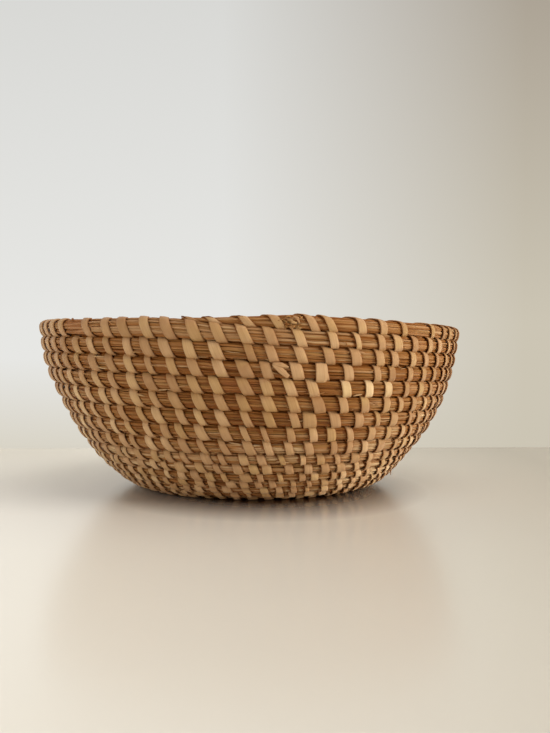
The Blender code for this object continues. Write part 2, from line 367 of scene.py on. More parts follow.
def bulge_at(angle, height):
    """How far the wall stands out at this angle and height."""
    outwards = np.zeros_like(height)
    for degrees, middle, spread, rise, amount in BULGES:
        off = either_way(np.degrees(angle) - degrees)
        outwards += amount * np.exp(-(off / spread) ** 2 - ((height - middle) / rise) ** 2)
    return outwards * np.clip(height / BULGE_FADE, 0, 1)


def frame_at(turn):
    """Middle, outward direction and row direction of the bundle, for an array of turns."""
    radius, height, slope = profile_at(way_at(turn))
    angle = END_ANGLE + (LAST_TURN - turn) * TAU
    radius = radius + bulge_at(angle, height)
    lean = 1 - LEAN_RISE / RIM_HEIGHT * np.cos(angle) * radius / RIM_RADIUS
    zero = np.zeros_like(angle)
    radial = np.stack([np.cos(angle), np.sin(angle), zero], axis=-1)
    rising = np.stack([zero, zero, np.ones_like(angle)], axis=-1)
    slope = np.arctan2(lean * np.sin(slope), np.cos(slope))[..., None]
    up = radial * np.cos(slope) + rising * np.sin(slope)
    out = radial * np.sin(slope) - rising * np.cos(slope)
    raised = np.where(turn > LAST_TURN / 2, -1, 1) * (1 - taper_at(turn)) * HALF_ROW
    raised = raised + (swell_at(turn, -0.5) + swell_at(turn, 0.5)) / 2
    raised = raised - END_DROP * np.interp(LAST_TURN - turn, (0, TAPER_ANGLE / TAU), (1, 0))
    middle = radial * radius[..., None] + rising * (BASE_HEIGHT + height * lean)[..., None]
    middle = middle + up * raised[..., None]
    low = np.clip(1 - height / FOOT_SHIFT_HEIGHT, 0, 1)
    middle[..., 0] += FOOT_SHIFT[0] * low - AXIS_SHIFT[0]
    middle[..., 1] += FOOT_SHIFT[1] * low - AXIS_SHIFT[1]
    return middle, out, up


def place(turn, outwards, upwards):
    """World points from turns and from places in the section, kept over the floor."""
    middle, out, up = frame_at(turn)
    points = middle + out * outwards[..., None] + up * upwards[..., None]
    points[..., 2] = np.maximum(points[..., 2], FLOOR_GAP)
    return points


def section_reach(turn, angle, low=0.0):
    """Distance from the bundle's middle to its surface, deeper by low towards the row beneath."""
    half_row = HALF_ROW * pitch_share(turn) + (swell_at(turn, 0.5) - swell_at(turn, -0.5)) / 2
    half_row = half_row + low * np.clip(-np.sin(angle), 0, 1) ** UNDERSIDE_POWER
    across = np.abs(np.cos(angle) / HALF_WALL) ** SQUARENESS
    along_row = np.abs(np.sin(angle) / half_row) ** SQUARENESS
    return taper_at(turn) * (across + along_row) ** (-1 / SQUARENESS)


TURN_GRID = np.linspace(FIRST_TURN, LAST_TURN, TURN_POINTS)
RADIUS_GRID = profile_at(way_at(TURN_GRID))[0]
LENGTH_STEPS = np.diff(TURN_GRID) * TAU * (RADIUS_GRID[1:] + RADIUS_GRID[:-1]) / 2
LENGTH_GRID = np.concatenate([[0], np.cumsum(LENGTH_STEPS)])
COIL_LENGTH = float(LENGTH_GRID[-1])


def length_at(turn):
    """Length along the bundle from its start to this turn."""
    return np.interp(turn, TURN_GRID, LENGTH_GRID)


def turn_at(length):
    """The turn at this length along the bundle."""
    return np.interp(length, LENGTH_GRID, TURN_GRID)


def wander(lengths, step, spread, draw):
    """A smooth random line along the bundle, with a knot every step."""
    knots = np.arange(-step, COIL_LENGTH + 2 * step, step)
    values = draw.normal(0, spread, len(knots))
    here = np.interp(lengths, knots, values)
    after = np.interp(lengths + step / 3, knots, values)
    before = np.interp(lengths - step / 3, knots, values)
    return (here + after + before) / 3


def tone_and_light_shift(back, kind):
    """How much paler the grass, kind 0, or the strips, kind 1, are at these turns back from the end, from
    tone and from painted light and shade.
    """
    shift = np.zeros_like(back)
    for degrees, wide, middle, tall, *amounts in TONE_AND_LIGHT_PLACES:
        off = degrees_off(back, degrees)
        shift += amounts[kind] * np.exp(-(off / wide) ** 2 - ((back - middle) / tall) ** 2)
    return shift


def stretch(back, low, high, steepness):
    """1 in a stretch between two numbers of turns back from the end, with soft ends, and 0 outside it."""
    return np.clip((1 - np.abs(back - (low + high) / 2) / ((high - low) / 2)) * steepness, 0, 1)


def spacing_at(turn):
    """How far back the next stitch starts, in turns."""
    radius = float(profile_at(way_at(turn))[0])
    off = either_way(math.degrees(END_ANGLE + (LAST_TURN - turn) * TAU) - WIDE_SPACING_ANGLE)
    wide = WIDE_SPACING_SHARE * math.exp(-(off / WIDE_SPACING_REACH) ** 2)
    wider = 1 + (turn < LAST_TURN - WIDE_SPACING_BACK) * wide
    least = LEAST_SPACING * min(max(radius / CENTRE_RADIUS, CENTRE_SHARE), 1)
    per_turn = STITCHES_PER_TURN + (turn < LAST_TURN - OFFSET_BACK) * OFFSET
    return max(wider / per_turn, least / (TAU * radius))


def nearest_to(places, back):
    """The number of the place that is nearest to these turns back from the end."""
    return np.argmin(np.abs(places - length_at(LAST_TURN - back)))


def stitch_places(draw):
    """Lengths along the bundle at which stitches start, from the centre to the end on the rim."""
    turn, found = LAST_TURN - FIRST_STITCH_TURN, []
    while turn > FIRST_TURN + LAST_STITCH_TURN:
        found.append(float(length_at(turn)))
        turn -= spacing_at(turn)
    found = np.array(found[::-1])
    jitters = (STITCH_JITTER, LOW_JITTER, LOW_JITTER, 0)
    spread = np.interp(LAST_TURN - turn_at(found), JITTER_BACK, jitters)
    found += spread * draw.normal(0, 1, len(found)).clip(-MOST_JITTER, MOST_JITTER)
    for back, moved, _, _ in CHANGED:
        found[nearest_to(found, back)] += moved * MM
    return np.delete(found, [nearest_to(found, back) for back in LEFT_OUT])


rng = np.random.default_rng(STITCH_SEED)
STITCHES = stitch_places(rng)
GAPS = np.append(np.diff(STITCHES), STITCHES[-1] - STITCHES[-2])
TURNS_BACK = LAST_TURN - turn_at(STITCHES)
FROM_LEAN = degrees_off(TURNS_BACK, LEAN_ANGLE)
FROM_LEFT = degrees_off(TURNS_BACK, LEFT_ANGLE)
LOWNESS = np.interp(TURNS_BACK, LOW_BACK, (0, 1, 1, 0))

ADVANCE_SPREADS = ADVANCE_SPREAD + LOW_ADVANCE_SPREAD * LOWNESS
ADVANCES = ADVANCE * (1 + ADVANCE_SPREADS * rng.uniform(-1, 1, len(STITCHES)))
ADVANCES += LEAN_MORE * np.exp(-(FROM_LEAN / LEAN_REACH) ** 2)
ADVANCES = np.minimum(ADVANCES, GAPS * ADVANCE_LIMIT)

WIDTH_DRAWS = rng.normal(0, 1, len(STITCHES)).clip(-MOST_WIDTH_SPREAD, MOST_WIDTH_SPREAD)
WIDTHS = 1 + (WIDTH_SPREAD + LOW_WIDTH_SPREAD * LOWNESS) * WIDTH_DRAWS
WIDTHS *= np.interp(TURNS_BACK, LOW_WIDTH_BACK, (1, LOW_WIDTH))
LEFT_SHARES = LEFT_NARROWER * np.interp(TURNS_BACK, LEFT_BACK, (0, 1))
WIDTHS *= 1 - LEFT_SHARES * np.exp(-(FROM_LEFT / LEFT_REACH) ** 2)

# The strips' tones, with painted light and shade in some places
TONES = rng.uniform(*STRIP_TONES, len(STITCHES)) + tone_and_light_shift(TURNS_BACK, 1)
for back, moved, wide, tone in CHANGED:
    nearest = nearest_to(STITCHES - moved * MM, back)
    WIDTHS[nearest] = wide
    TONES[nearest] = tone
ADVANCES[-END_STITCHES:] = END_ADVANCE
WIDTHS[-END_STITCHES:] = END_WIDTH


def crossing_at(number, share):
    """Length along the bundle where stitch number lies, at this share of its way round the section.

    A stitch starts under its row, is over it halfway round, and ends where the next one starts."""
    outside = np.clip(share / HALFWAY, 0, 1) * ADVANCES[number]
    inside = np.clip(share / HALFWAY - 1, 0, 1) * (GAPS[number] - ADVANCES[number])
    return STITCHES[number] + outside + inside


# Meshes

def tube_faces(rows, sides):
    """Corners of a tube's faces, with a cap at both ends, and how many corners each face has."""
    index = np.arange(rows * sides).reshape(rows, sides)
    following = np.roll(index, -1, axis=1)
    quads = np.stack([index[:-1], following[:-1], following[1:], index[1:]], axis=-1)
    corners = np.concatenate([quads.reshape(-1), index[0][::-1], index[-1]])
    counts = np.concatenate([np.full((rows - 1) * sides, 4), [sides, sides]])
    return corners, counts


def mesh_from(name, points, corners, counts, layers):
    """A smooth mesh from points, the corners of its faces and named values per point."""
    starts = np.concatenate([[0], np.cumsum(counts)[:-1]])
    mesh = bpy.data.meshes.new(name)
    mesh.vertices.add(len(points))
    mesh.vertices.foreach_set("co", points.astype(np.float32).ravel())
    mesh.loops.add(len(corners))
    mesh.loops.foreach_set("vertex_index", corners.astype(np.int32))
    mesh.polygons.add(len(counts))
    mesh.polygons.foreach_set("loop_start", starts.astype(np.int32))
    mesh.update(calc_edges=True)
    for key, value in layers.items():
        layer = mesh.attributes.new(key, "FLOAT", "POINT")
        layer.data.foreach_set("value", np.concatenate(value).astype(np.float32))
    mesh.validate()
    mesh.shade_smooth()
    return mesh


def grid_mesh(name, tubes):
    """One mesh from tubes, each a grid of points (rows, sides, 3) with values per point."""
    points, corners, counts, layers = [], [], [], {}
    first = 0
    for grid, values in tubes:
        rows, sides = grid.shape[:2]
        tube_corners, tube_counts = tube_faces(rows, sides)
        points.append(grid.reshape(-1, 3))
        corners.append(first + tube_corners)
        counts.append(tube_counts)
        for key, value in values.items():
            layers.setdefault(key, []).append(np.broadcast_to(value, (rows, sides)).reshape(-1))
        first += rows * sides
    joined = [np.concatenate(part) for part in (points, corners, counts)]
    return mesh_from(name, *joined, layers)


def add_piece(name, mesh, material, slot, *nodes):
    """A piece of the object, riding on the root body and standing for CAD nodes."""
    piece = bpy.data.objects.new(name, mesh)
    bpy.context.scene.collection.objects.link(piece)
    mesh.materials.append(material)
    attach(piece, "root")
    if nodes:
        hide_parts(*nodes)
    return piece


def stem_values(lengths, draw):
    """Tone and width of one stem's place in the bundle, where one stem follows another."""
    joins = np.cumsum(draw.uniform(*STEM_LENGTHS, STEMS_DRAWN))
    joins = joins[joins < COIL_LENGTH]
    which = np.searchsorted(joins, lengths)
    tones = draw.uniform(0, 1, len(joins) + 1)
    widths = draw.uniform(*STEM_WIDTHS, len(joins) + 1)
    after = np.clip(which, 1, len(joins) - 1)
    gap = np.minimum(np.abs(lengths - joins[after - 1]), np.abs(lengths - joins[after]))
    near = np.clip(gap / JOIN_REACH, JOIN_SHARE, 1)
    return tones[which], widths[which] * near


def stem_layers(along, tone=0.0, shade=0.0, red=0.0, groove_shade=0.0, stem=0.0):
    """The values that the grass material reads, each for every point or one for all of them."""
    layers = {"along": along, "tone": tone, "shade": shade, "red": red, "groove_shade": groove_shade, "stem": stem}
    return {key: np.atleast_2d(value) for key, value in layers.items()}


def strip_layers(along, tone, groove_shade):
    """The values that the strips' material reads, each for every point or one for all of them."""
    layers = {"along": along, "across": ACROSS, "tone": tone, "groove_shade": groove_shade}
    return {key: np.atleast_2d(value) for key, value in layers.items()}


def groove_shade_at(angle):
    """How much painted shade this gets, deep between two rows, more so beneath a row than above it."""
    under = np.clip(-np.sin(angle), 0, 1) ** UNDER_GROOVE_POWER
    return under + OVER_GROOVE_SHARE * np.clip(np.sin(angle), 0, 1) ** OVER_GROOVE_POWER


def stem_rows(angle):
    """Lengths of a stem's points, with how shaded and how swollen the bundle is at each of them."""
    number = np.arange(len(STITCHES))
    middle = crossing_at(number, (angle / TAU + OUTSIDE) % 1)
    gap = np.append(np.diff(middle), GAPS[-1])
    places = np.stack([middle + gaps * gap + wide * STRIP_WIDTH / 2 for gaps, wide in STEM_POINTS], axis=1)
    places[0] = np.linspace(0, places[0, -1], ROWS_PER_STITCH)
    lengths = np.maximum.accumulate(places.ravel())
    return lengths, np.tile(STEM_SHADES, len(STITCHES)), np.tile(STEM_SWELLS, len(STITCHES))


def stem_tone(back, tone, draw):
    """The tone of a stem's points, paler in the stretches of straw and where the photo is paler."""
    for low, high in STRAW:
        tone = tone + stretch(back, low, high, STRAW_STEEPNESS) * draw.uniform(*STRAW_TONES)
    # Paler or darker in some places, partly painted light and shade
    return tone + tone_and_light_shift(back, 0)


def stem_tube(degrees, draw, depth=0.0):
    """One stem's place along the whole bundle, as a grid of points with its values."""
    angle = math.radians(degrees)
    lengths, shade, swollen = stem_rows(angle)
    turn = turn_at(lengths)
    tone, width = stem_values(lengths, draw)
    tone = stem_tone(LAST_TURN - turn, tone, draw)
    red = sum(stretch(LAST_TURN - turn, low, high, REDDISH_STEEPNESS) for low, high in REDDISH)
    angles = angle + wander(lengths, STRAY_STEP, STRAY_ANGLE, draw)
    angles = angles + wander(lengths, SLOW_STRAY_STEP, STRAY_ANGLE, draw)
    sink = np.abs(wander(lengths, SINK_STEP, SINK_SPREAD, draw)) + depth + PINCH * (PINCH_SHARE - swollen)
    size = taper_at(turn)
    radius = STEM_RADIUS * width * (TAPERED_STEM + (1 - TAPERED_STEM) * size)
    reach = section_reach(turn, angles) - radius - sink * size
    sides = np.arange(STEM_SIDES) * TAU / STEM_SIDES + angle
    outwards = (reach * np.cos(angles))[:, None] + radius[:, None] * np.cos(sides)
    upwards = (reach * np.sin(angles))[:, None] + radius[:, None] * np.sin(sides)
    grid = place(np.repeat(turn[:, None], STEM_SIDES, axis=1), outwards, upwards)
    return grid, stem_layers(
        lengths[:, None], tone[:, None], shade[:, None], red[:, None],
        groove_shade_at(angles)[:, None], draw.uniform(0, 100),
    )


def seam_tube():
    """A strand between a row and the one beneath, which nothing shows through, dark with painted shade."""
    lengths, _, _ = stem_rows(-math.pi / 2)
    turn = turn_at(lengths)
    sides = np.arange(SEAM_SIDES) * TAU / SEAM_SIDES
    radius = (SEAM_RADIUS * taper_at(turn))[:, None]
    below = section_reach(turn, np.full_like(turn, -math.pi / 2))[:, None]
    turns = np.repeat(turn[:, None], SEAM_SIDES, axis=1)
    grid = place(turns, radius * np.cos(sides), radius * np.sin(sides) - below)
    return grid, stem_layers(lengths[:, None], groove_shade=1.0, stem=1.0)


def core_tube():
    """The inside of the bundle, seen between its stems, dark with painted shade."""
    lengths, _, _ = stem_rows(0.0)
    turn = turn_at(lengths)
    sides = np.arange(CORE_SIDES) * TAU / CORE_SIDES
    reach = section_reach(turn[:, None], sides[None, :]) - CORE_DEPTH * taper_at(turn)[:, None]
    turns = np.repeat(turn[:, None], CORE_SIDES, axis=1)
    grid = place(turns, reach * np.cos(sides), reach * np.sin(sides))
    return grid, stem_layers(lengths[:, None], groove_shade=CORE_SHADE)


def cut(tube, rows):
    """The rows of a tube that belong to one piece."""
    grid, values = tube
    return grid[rows], {key: value[rows] if len(value) > 1 else value for key, value in values.items()}


def build_bundle(material):
    """The grass bundle, one piece for each turn."""
    draw = np.random.default_rng(BUNDLE_SEED)
    outer = np.linspace(*OUTER_RANGE, OUTER_STEMS)
    inner = np.linspace(*INNER_RANGE, INNER_STEMS)
    between = outer[:-1] + np.diff(outer) / 2
    tubes = [core_tube(), seam_tube()]
    tubes += [stem_tube(degrees, draw) for degrees in [*outer, *inner]]
    tubes += [stem_tube(degrees, draw, BETWEEN_DEPTH) for degrees in between]
    tubes.append(stem_tube(TOP_ANGLE, draw))
    rim_tubes = [stem_tube(degrees, draw) for degrees in RIM_ANGLES]
    whole = math.ceil(LAST_TURN)
    for number in range(math.floor(TURNS_BACK.max()) + 1):
        chosen = np.flatnonzero(np.floor(TURNS_BACK) == number)
        rows = slice(chosen[0] * ROWS_PER_STITCH, (chosen[-1] + 1) * ROWS_PER_STITCH + 1)
        shown = tubes + (rim_tubes if number < RIM_TURNS else [])
        mesh = grid_mesh(f"grass_turn_{whole - number:02d}", [cut(tube, rows) for tube in shown])
        add_piece(mesh.name, mesh, material, "grass", "grass_coil")


def ribbon_way(numbers):
    """A strip's points through these stitches: steps in stitches, share of the way round, and lengths."""
    steps = np.arange(len(numbers) * STITCH_STEPS + 1) / STITCH_STEPS
    if numbers[-1] == len(STITCHES) - 1:
        steps = steps[:-STITCH_STEPS // 2]
    stitch = np.minimum(steps.astype(int), len(numbers) - 1)
    share = steps - stitch
    return steps, share, crossing_at(numbers[stitch], share)


def ribbon(numbers, draw):
    """A strip sewn through these stitches, as a grid of points with its values."""
    steps, share, lengths = ribbon_way(numbers)
    angle = share * TAU - math.pi / 2
    reach = section_reach(turn_at(lengths), angle, TUCK)
    slant = np.arctan2(np.gradient(lengths), np.gradient(steps * TAU) * reach)[:, None]
    keys = np.arange(len(numbers) + 1)
    waist = 1 - WAIST * np.cos(share * TAU) ** WAIST_POWER * (share > WAIST_FROM)
    width = np.interp(steps, keys + OUTSIDE, np.append(WIDTHS[numbers], 1)) * waist * STRIP_WIDTH / 2
    aside = width[:, None] * ACROSS
    tilt = EDGE_LIFT * np.interp(steps, keys, draw.uniform(*EDGE_LIFTS, len(keys)))
    highest = MOST_LIFT + LOW_LIFT * np.append(LOWNESS[numbers], 0)
    lift = np.interp(steps, keys, draw.uniform(LEAST_LIFT, highest, len(keys))) * MM
    height = lift[:, None] + FACE + tilt[:, None] * (ACROSS + 1) / 2
    along = turn_at(lengths[:, None] + aside * np.cos(slant))
    around = angle[:, None] - aside * np.sin(slant) / np.maximum(reach, LEAST_REACH)[:, None]
    far = section_reach(along, around, TUCK) + height - PINCH * PINCH_SHARE
    grid = place(along, far * np.cos(around), far * np.sin(around))
    runs = np.hypot(np.diff(lengths), np.diff(steps * TAU) * reach[1:])
    path = np.concatenate([[0], np.cumsum(runs)])[:, None] + draw.uniform(0, 10)
    tones = np.interp(steps, keys + OUTSIDE, np.append(TONES[numbers], 0.5))
    values = strip_layers(path, tones[:, None], (groove_shade_at(angle) ** STRIP_GROOVE_POWER)[:, None])
    return grid[:, ::-1], {key: value[:, ::-1] for key, value in values.items()}


def build_strips(material):
    """The binder strips: two to each turn of the wall, as in the part, and longer ones in the base."""
    halves = np.floor(TURNS_BACK * 2).astype(int)
    in_base = WALL_STRIPS + (halves - WALL_STRIPS) // BASE_HALF_TURNS
    groups = np.where(halves < WALL_STRIPS, halves, in_base)
    draw = np.random.default_rng(STRIP_SEED)
    for group in range(groups.max() + 1):
        name, nodes = f"base_strip_{group - WALL_STRIPS + 1:02d}", []
        if group < WALL_STRIPS:
            name = f"strip_{WALL_STRIPS - group:02d}"
            nodes = [f"binder_{name}"]
        if group == 0:
            nodes.append("end_lashing")
        mesh = grid_mesh(name, [ribbon(np.flatnonzero(groups == group), draw)])
        add_piece(name, mesh, material, "binder", *nodes)


# Loose ends

def path_on_row(back, section, moves, count):
    """A short smooth path on the bundle: shares, lengths, section angles and its direction.

    It starts these turns back from the end, at this angle in the section. Each move is in mm from there,
    along the row towards the end on the rim, and around it, upwards outside."""
    share = np.linspace(0, 1, count)
    knots = np.linspace(0, 1, len(moves))
    along = np.interp(share, knots, [move[0] for move in moves]) * MM
    around = np.interp(share, knots, [move[1] for move in moves]) * MM
    slope = np.stack([np.gradient(along), np.gradient(around)])
    slope = slope / np.linalg.norm(slope, axis=0)
    lengths = length_at(LAST_TURN - back) + along
    return share, lengths, math.radians(section) + around / HALF_ROW, slope


def aside_of(lengths, angles, slope, aside):
    """Lengths and section angles of points this far to the side of a path."""
    along = lengths[:, None] - slope[1][:, None] * aside
    return along, angles[:, None] + slope[0][:, None] * aside / HALF_ROW


def on_row(lengths, angles, height):
    """World points at a height over the surface of the bundle."""
    turn = turn_at(lengths)
    far = section_reach(turn, angles) + height
    return place(turn, far * np.cos(angles), far * np.sin(angles))


def spread_over(share, values):
    """Values that are spread evenly over a path, in mm, at each share of its way."""
    return np.interp(share, np.linspace(0, 1, len(values)), values)[:, None] * MM


def splinter(back, section, moves, radius, heights, tone):
    """A short piece of stem lying on the bundle, thin at both ends."""
    share, lengths, angles, slope = path_on_row(back, section, moves, SPLINTER_POINTS)
    sides = np.arange(STEM_SIDES) * TAU / STEM_SIDES
    thick = (radius * MM * np.interp(share, SPLINTER_KNOTS, SPLINTER_SHARES))[:, None]
    beside, around = aside_of(lengths, angles, slope, thick * np.cos(sides))
    grid = on_row(beside, around, spread_over(share, heights) + thick * np.sin(sides))
    return grid, stem_layers(lengths[:, None], tone, stem=40 + 7 * tone)


def tongue(back, section, moves, widths, heights, tone):
    """A short piece of strip lying on the bundle."""
    share, lengths, angles, slope = path_on_row(back, section, moves, TONGUE_POINTS)
    beside, around = aside_of(lengths, angles, slope, spread_over(share, widths) / 2 * ACROSS)
    grid = on_row(beside, around, spread_over(share, heights) + FACE)
    return grid, strip_layers(share[:, None] * TONGUE_GRAIN + back, tone, 0.0)


def random_splinter(draw):
    """A broken stem between two stitches, somewhere from the rim down to the foot."""
    depth = SPLINTER_DEPTH * draw.uniform(0, 1) ** SPLINTER_CROWDING
    number = int(len(STITCHES) * (1 - depth)) - 1
    length = STITCHES[number] + ADVANCES[number] / 2 + GAPS[number] * 0.3
    run = draw.uniform(*SPLINTER_RUNS) * draw.choice([-1, 1])
    moves = ((0, 0), (run / 2, draw.normal(0, 0.35)), (run, draw.normal(0, 0.8)))
    heights = (-0.1, draw.uniform(0, 0.15), draw.uniform(0.1, 0.5))
    radius = draw.uniform(*SPLINTER_RADII)
    tone = draw.uniform(*SPLINTER_TONES)
    section = draw.uniform(*SPLINTER_SECTIONS)
    return splinter(LAST_TURN - float(turn_at(length)), section, moves, radius, heights, tone)


def knot_stem(draw):
    """A short stem of the knotty spot on the last row."""
    moves = ((0, 0), (draw.uniform(-3.2, 3.2), draw.uniform(-1.6, 1.6)))
    back = KNOT_BACK + draw.uniform(-0.008, 0.007)
    section = draw.uniform(-46, 56)
    radius = draw.uniform(0.25, 0.5)
    heights = (-0.1, draw.uniform(0.1, 0.7), draw.uniform(-0.3, 0.2))
    return splinter(back, section, moves, radius, heights, draw.uniform(-0.4, 0.8))


def start_plug():
    """The bundle's first end, turned in at the centre of the base."""
    middle = frame_at(np.linspace(FIRST_TURN, FIRST_TURN + 1, 40))[0].mean(axis=0)
    sides = np.arange(PLUG_SIDES) * TAU / PLUG_SIDES
    radius = PLUG_RADIUS * PLUG_RADII[:, None] * (1 + PLUG_LOBE_SHARE * np.cos(PLUG_LOBES * sides))
    height = PLUG_HEIGHT * PLUG_HEIGHTS[:, None]
    heights = FLOOR_GAP + np.broadcast_to(height, radius.shape)
    x = middle[0] + radius * np.cos(sides)
    y = middle[1] + radius * np.sin(sides)
    grid = np.stack([x, y, heights], axis=-1)
    streaks = 0.5 + 0.4 * np.cos(np.arange(PLUG_SIDES) * PLUG_STREAK)
    # Painted shade over the whole plug, which sits in the hole at the centre of the base
    return grid, stem_layers(height * 3, streaks, shade=0.5, groove_shade=0.5, stem=streaks * 9)


def build_loose_ends(grass, binder):
    """The splinters, the knotty spot, the split strip, the wide stitch and what else sticks out."""
    draw = np.random.default_rng(LOOSE_SEED)
    stems = [start_plug()]
    stems += [random_splinter(draw) for _ in range(SPLINTERS)]
    stems += [knot_stem(draw) for _ in range(KNOT_STEMS)]
    stems += [splinter(*bit) for bit in STEM_BITS]
    add_piece("loose_stems", grid_mesh("loose_stems", stems), grass, "grass")
    strips = [tongue(*bit) for bit in STRIP_BITS]
    add_piece("strip_ends", grid_mesh("strip_ends", strips), binder, "binder")


# Materials, with colours as they show on a screen, from 0 to 255

GRASS_RAMP = (
    (0.1, (116, 65, 22)), (0.3, (146, 94, 44)), (0.5, (168, 117, 67)),
    (0.66, (180, 134, 90)), (0.8, (195, 154, 110)), (0.95, (214, 180, 135)),
)
GRASS_OLIVE = (142, 108, 58)
GRASS_ORANGE = (172, 110, 67)
GRASS_RED = (162, 94, 50)
GRASS_LINES = (104, 54, 16)
GRASS_GROOVE_SHADE = (132, 69, 4)
GRASS_SHADE = (128, 65, 4)
STRIP_RAMP = (
    (0.1, (150, 105, 63)), (0.35, (166, 122, 80)), (0.6, (181, 138, 96)),
    (0.8, (199, 158, 115)), (1.0, (222, 187, 142)),
)
STRIP_YELLOW = (194, 157, 96)
STRIP_PINK = (194, 148, 106)
STRIP_LINES = (146, 96, 50)
STRIP_EDGE_SHADE = (122, 62, 6)
STRIP_GROOVE_SHADE = (118, 62, 12)
TONE_PART = 0.62  # of a piece's tone in its colour, and the rest is blotches


def linear(red, green, blue):
    """A colour given as it shows on a screen, for a shader."""
    def one(value):
        value = value / 255
        return value / 12.92 if value <= 0.04045 else ((value + 0.055) / 1.055) ** 2.4

    return (one(red), one(green), one(blue), 1)


class Nodes:
    """A short way to write a node tree."""

    def __init__(self, name):
        self.material = bpy.data.materials.new(name)
        self.material.use_nodes = True
        self.tree = self.material.node_tree
        self.shader = self.tree.nodes["Principled BSDF"]

    def add(self, kind, **settings):
        node = self.tree.nodes.new(kind)
        for key, value in settings.items():
            setattr(node, key, value)
        return node

    def put(self, value, socket):
        if isinstance(value, bpy.types.NodeSocket):
            self.tree.links.new(value, socket)
        else:
            socket.default_value = value

    def put_all(self, values, sockets):
        for value, socket in zip(values, sockets):
            self.put(value, socket)

    def attribute(self, name):
        return self.add("ShaderNodeAttribute", attribute_name=name).outputs["Fac"]

    def math(self, operation, first, second=0.0, clamp=False):
        node = self.add("ShaderNodeMath", operation=operation, use_clamp=clamp)
        self.put_all((first, second), node.inputs)
        return node.outputs[0]

    def times(self, first, second, clamp=False):
        return self.math("MULTIPLY", first, second, clamp)

    def over(self, value, limit, gain):
        """How far a value is over a limit, times a gain and up to 1."""
        return self.times(self.math("SUBTRACT", value, limit, clamp=True), gain, clamp=True)

    def under(self, value, limit, gain):
        """How far a value is under a limit, times a gain and up to 1."""
        return self.times(self.math("SUBTRACT", limit, value, clamp=True), gain, clamp=True)

    def rise(self, value, start, width):
        """From 0 at a start to 1 a width further on."""
        return self.times(self.math("SUBTRACT", value, start), 1 / width, clamp=True)

    def position(self):
        parts = self.add("ShaderNodeSeparateXYZ")
        self.put(self.add("ShaderNodeTexCoord").outputs["Object"], parts.inputs[0])
        return parts.outputs

    def noise(self, x, y, z, detail, roughness=0.5):
        """Noise with blotches about one unit wide."""
        where = self.add("ShaderNodeCombineXYZ")
        self.put_all((x, y, z), where.inputs)
        node = self.add("ShaderNodeTexNoise")
        self.put(where.outputs[0], node.inputs["Vector"])
        node.inputs["Scale"].default_value = 1.0
        node.inputs["Detail"].default_value = detail
        node.inputs["Roughness"].default_value = roughness
        return node.outputs["Fac"]

    def ramp(self, factor, stops):
        node = self.add("ShaderNodeValToRGB")
        elements = node.color_ramp.elements
        while len(elements) < len(stops):
            elements.new(0.5)
        for element, (position, color) in zip(elements, stops):
            element.position = position
            element.color = linear(*color)
        self.put(factor, node.inputs[0])
        return node.outputs["Color"]

    def mix(self, factor, first, second):
        node = self.add("ShaderNodeMix", data_type="RGBA")
        self.put_all((factor, first, second), (node.inputs[0], node.inputs[6], node.inputs[7]))
        return node.outputs[2]

    def towards(self, factor, color, other):
        return self.mix(factor, color, linear(*other))

    def mix_shader(self, factor, first, second):
        node = self.add("ShaderNodeMixShader")
        self.put_all((factor, first, second), node.inputs)
        return node.outputs[0]

    def bump(self, height, distance, strength):
        node = self.add("ShaderNodeBump")
        node.inputs["Strength"].default_value = strength
        node.inputs["Distance"].default_value = distance
        self.put(height, node.inputs["Height"])
        return node.outputs["Normal"]

    def finish(self, color, specular, roughness, normal):
        """Set the shader's inputs, and give the material."""
        self.shader.inputs["Specular IOR Level"].default_value = specular
        self.put(color, self.shader.inputs["Base Color"])
        self.put(roughness, self.shader.inputs["Roughness"])
        self.put(normal, self.shader.inputs["Normal"])
        return self.material


def grass_material():
    """Dried grass stems: browns, some reddish and some pale straw, with fine lines along each stem."""
    n = Nodes("grass_stems")
    along, tone, stem = n.attribute("along"), n.attribute("tone"), n.attribute("stem")
    patch = n.noise(n.times(along, 14.0), stem, 0.0, 2.0)
    fine = n.noise(n.times(along, 260.0), n.times(stem, 3.0), tone, 3.0, 0.6)
    slow = n.noise(n.times(along, 30.0), 7.0, 3.0, 1.0)
    tint = n.noise(n.times(along, 22.0), stem, 9.0, 1.0)
    mixed = n.math("ADD", n.times(tone, TONE_PART), n.times(patch, 1 - TONE_PART))
    mixed = n.math("ADD", mixed, n.times(n.math("SUBTRACT", slow, 0.5), 0.9))
    color = n.ramp(mixed, GRASS_RAMP)
    color = n.towards(n.over(tint, 0.52, 3.2), color, GRASS_OLIVE)
    color = n.towards(n.under(tint, 0.45, 1.6), color, GRASS_ORANGE)
    color = n.towards(n.times(n.attribute("red"), 0.4), color, GRASS_RED)
    color = n.towards(n.times(fine, 0.3), color, GRASS_LINES)
    # Painted shade in the grooves between rows, and beside the edges of the strips
    color = n.towards(n.times(n.attribute("groove_shade"), 0.7), color, GRASS_GROOVE_SHADE)
    color = n.towards(n.times(n.attribute("shade"), 0.75), color, GRASS_SHADE)
    roughness = n.math("ADD", 0.42, n.times(fine, 0.25))
    return n.finish(color, 0.25, roughness, n.bump(fine, 0.12 * MM, 0.6))


